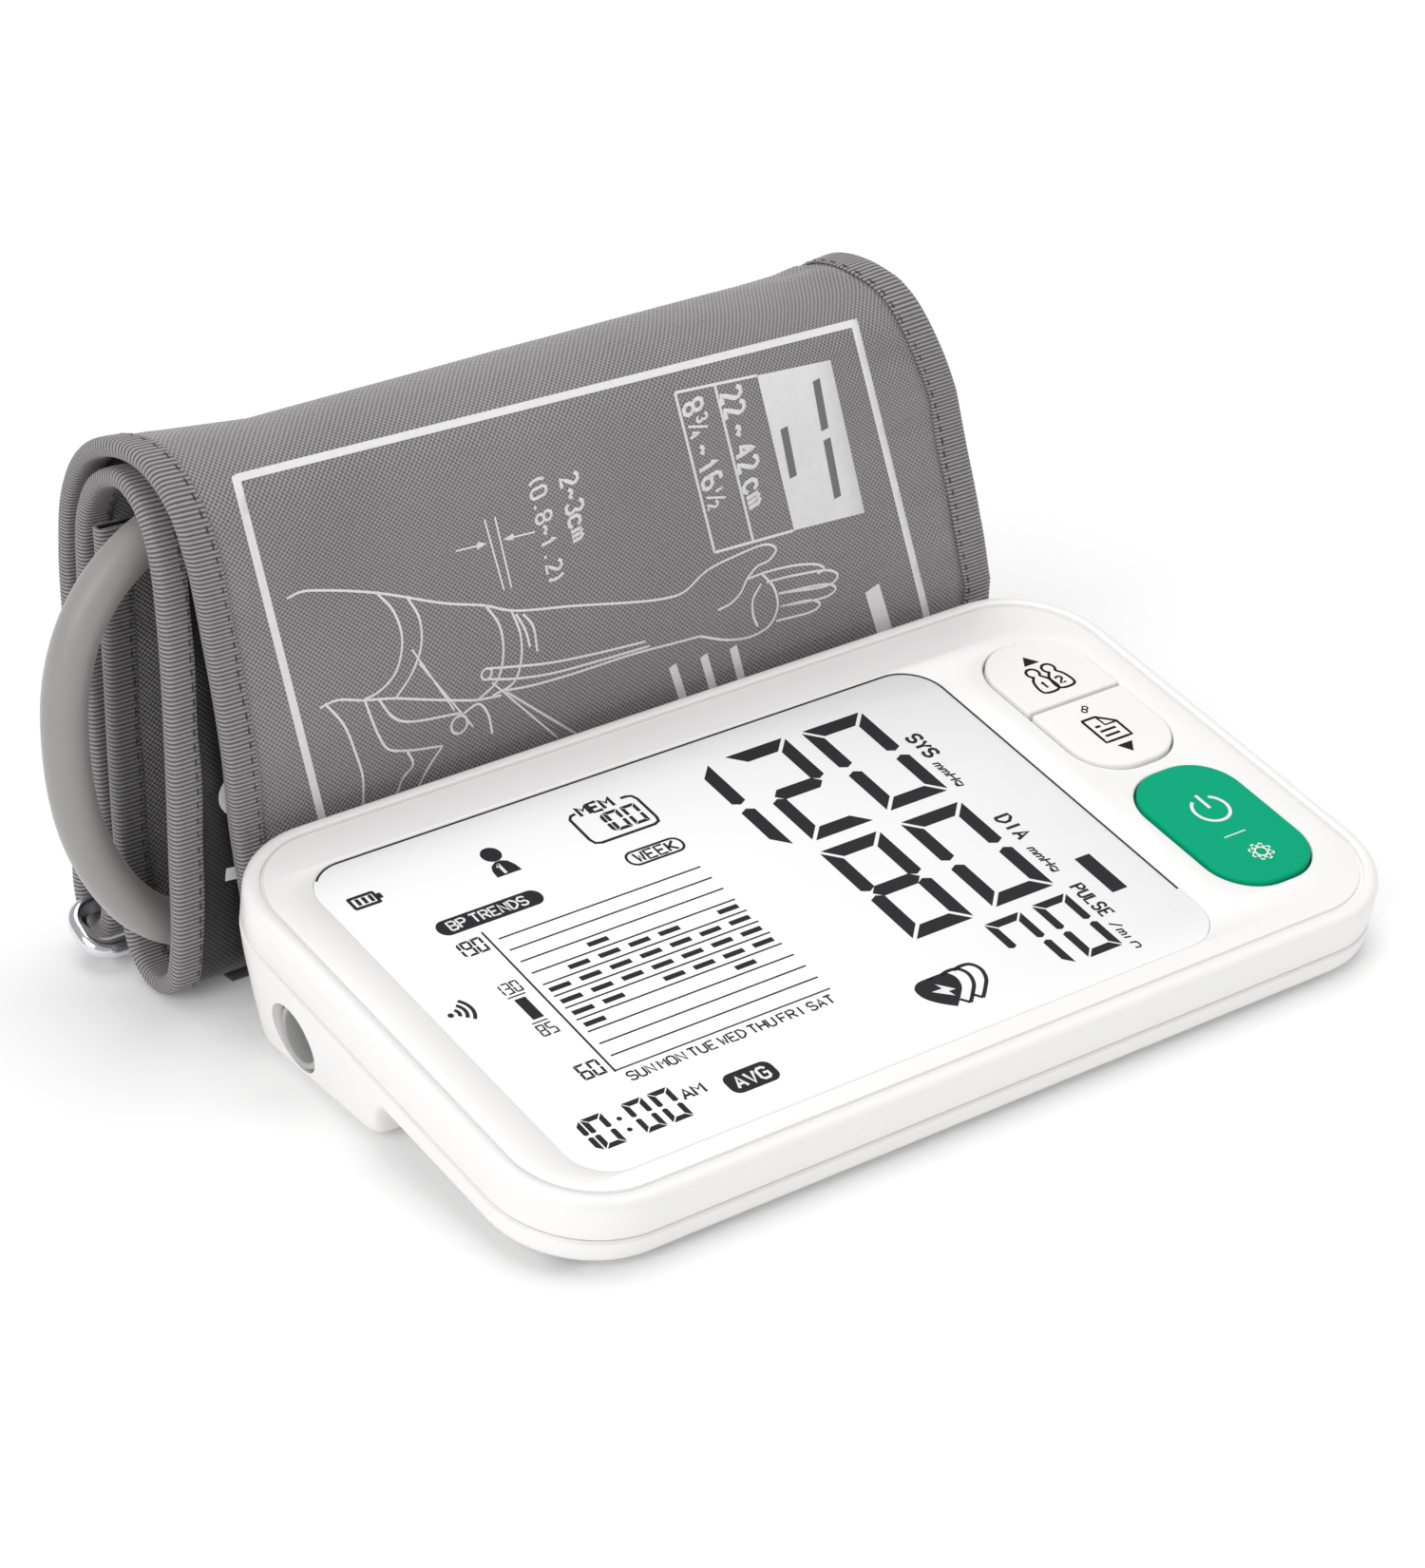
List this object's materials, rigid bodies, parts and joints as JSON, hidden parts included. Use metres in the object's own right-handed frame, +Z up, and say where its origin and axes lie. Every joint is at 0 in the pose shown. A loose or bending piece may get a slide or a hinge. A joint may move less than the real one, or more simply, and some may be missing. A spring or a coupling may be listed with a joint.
{
  "type": "upper-arm blood pressure cuff with monitor",
  "caption": "Rolled upper-arm blood pressure cuff with air hose, behind its table-top digital monitor with tilted display and push keys.",
  "frame": {"origin": "on the table under the middle of the object's box, measured without the air hose and its plug", "axes": "+X along the monitor's long side, towards its keys; +Y from the monitor's front edge towards the cuff; +Z up"},
  "size_m": [0.1807, 0.133, 0.0965],
  "materials": {
    "case_white": "satin moulded white plastic",
    "key_white": "soft satin warm white",
    "key_green": "soft satin green",
    "lens_clear": "clear lens over a white display",
    "lcd_glass": "liquid crystal glass",
    "inner_white": "moulded, unseen",
    "board_green": "circuit board laminate",
    "key_rubber": "silicone key mat",
    "cell_jacket": "printed cell jacket, no marks",
    "spring_steel": "plated",
    "screw_steel": "plated",
    "pump_body": "moulded",
    "valve_black": "moulded",
    "socket_grey": "grey moulded ring",
    "seal_rubber": "soft",
    "clear_tube": "silicone tube",
    "foot_rubber": "moulded",
    "cuff_cloth": "grey nylon, fine plain weave",
    "cuff_tape": "ribbed grosgrain tape",
    "bladder_film": "thin film",
    "hook_grey": "hook tape",
    "loop_grey": "brushed loop tape",
    "ring_chrome": "polished wire",
    "hose_grey": "matte grey rubber hose",
    "plug_grey": "moulded"
  },
  "bodies": {
    "monitor": {"top_cover": "case_white", "display_lens": "lens_clear", "lcd_panel": "lcd_glass", "lcd_holder": "inner_white", "lcd_connector": "key_rubber", "circuit_board": "board_green", "key_board": "board_green", "key_mat": "key_rubber", "battery_1": "cell_jacket", "battery_2": "cell_jacket", "battery_3": "cell_jacket", "battery_4": "cell_jacket", "battery_contact_left": "spring_steel", "battery_contact_right": "spring_steel", "air_socket": "socket_grey", "socket_seal": "seal_rubber", "pump_motor": "spring_steel", "pump_head": "pump_body", "air_line": "clear_tube", "release_valve": "valve_black", "pressure_sensor": "valve_black", "bottom_cover": "case_white", "case_screw_1": "screw_steel", "case_screw_2": "screw_steel", "case_screw_3": "screw_steel", "case_screw_4": "screw_steel", "rear_foot_1": "foot_rubber", "rear_foot_2": "foot_rubber", "front_foot_1": "foot_rubber", "front_foot_2": "foot_rubber"},
    "cuff": {"loop_cloth": "cuff_cloth", "printed_cloth": "cuff_cloth", "bladder": "bladder_film", "left_binding": "cuff_tape", "right_binding": "cuff_tape", "hook_patch": "hook_grey", "loop_patch": "loop_grey", "d_ring_tab": "cuff_tape", "bladder_port": "plug_grey", "air_hose": "hose_grey", "air_plug": "plug_grey"},
    "start_button": {"start_button": "key_green"},
    "user_button": {"user_button": "key_white"},
    "memory_button": {"memory_button": "key_white"},
    "battery_cover": {"battery_cover": "case_white"},
    "d_ring": {"d_ring": "ring_chrome"}
  },
  "joints": [
    {"name": "start_press", "type": "slide", "parent": "monitor", "child": "start_button", "axis": [0, 0.1994, -0.9799], "range_m": [0, 0.0009], "stiffness_N_per_m": 900, "springref_m": -0.0006},
    {"name": "user_press", "type": "slide", "parent": "monitor", "child": "user_button", "axis": [0, 0.1994, -0.9799], "range_m": [0, 0.0009], "stiffness_N_per_m": 900, "springref_m": -0.0006},
    {"name": "memory_press", "type": "slide", "parent": "monitor", "child": "memory_button", "axis": [0, 0.1994, -0.9799], "range_m": [0, 0.0009], "stiffness_N_per_m": 900, "springref_m": -0.0006},
    {"name": "battery_cover_slide", "type": "slide", "parent": "monitor", "child": "battery_cover", "axis": [0, -1, 0], "range_m": [0, 0.009]},
    {"name": "cuff_lift", "type": "slide", "parent": "monitor", "child": "cuff", "axis": [0, 0, 1], "range_m": [0, 0.12]},
    {"name": "d_ring_swing", "type": "hinge", "parent": "cuff", "child": "d_ring", "pos_m": [-0.0796, 0.05279, 0.0035], "axis": [1, 0, 0], "range_deg": [0, 5]}
  ]
}
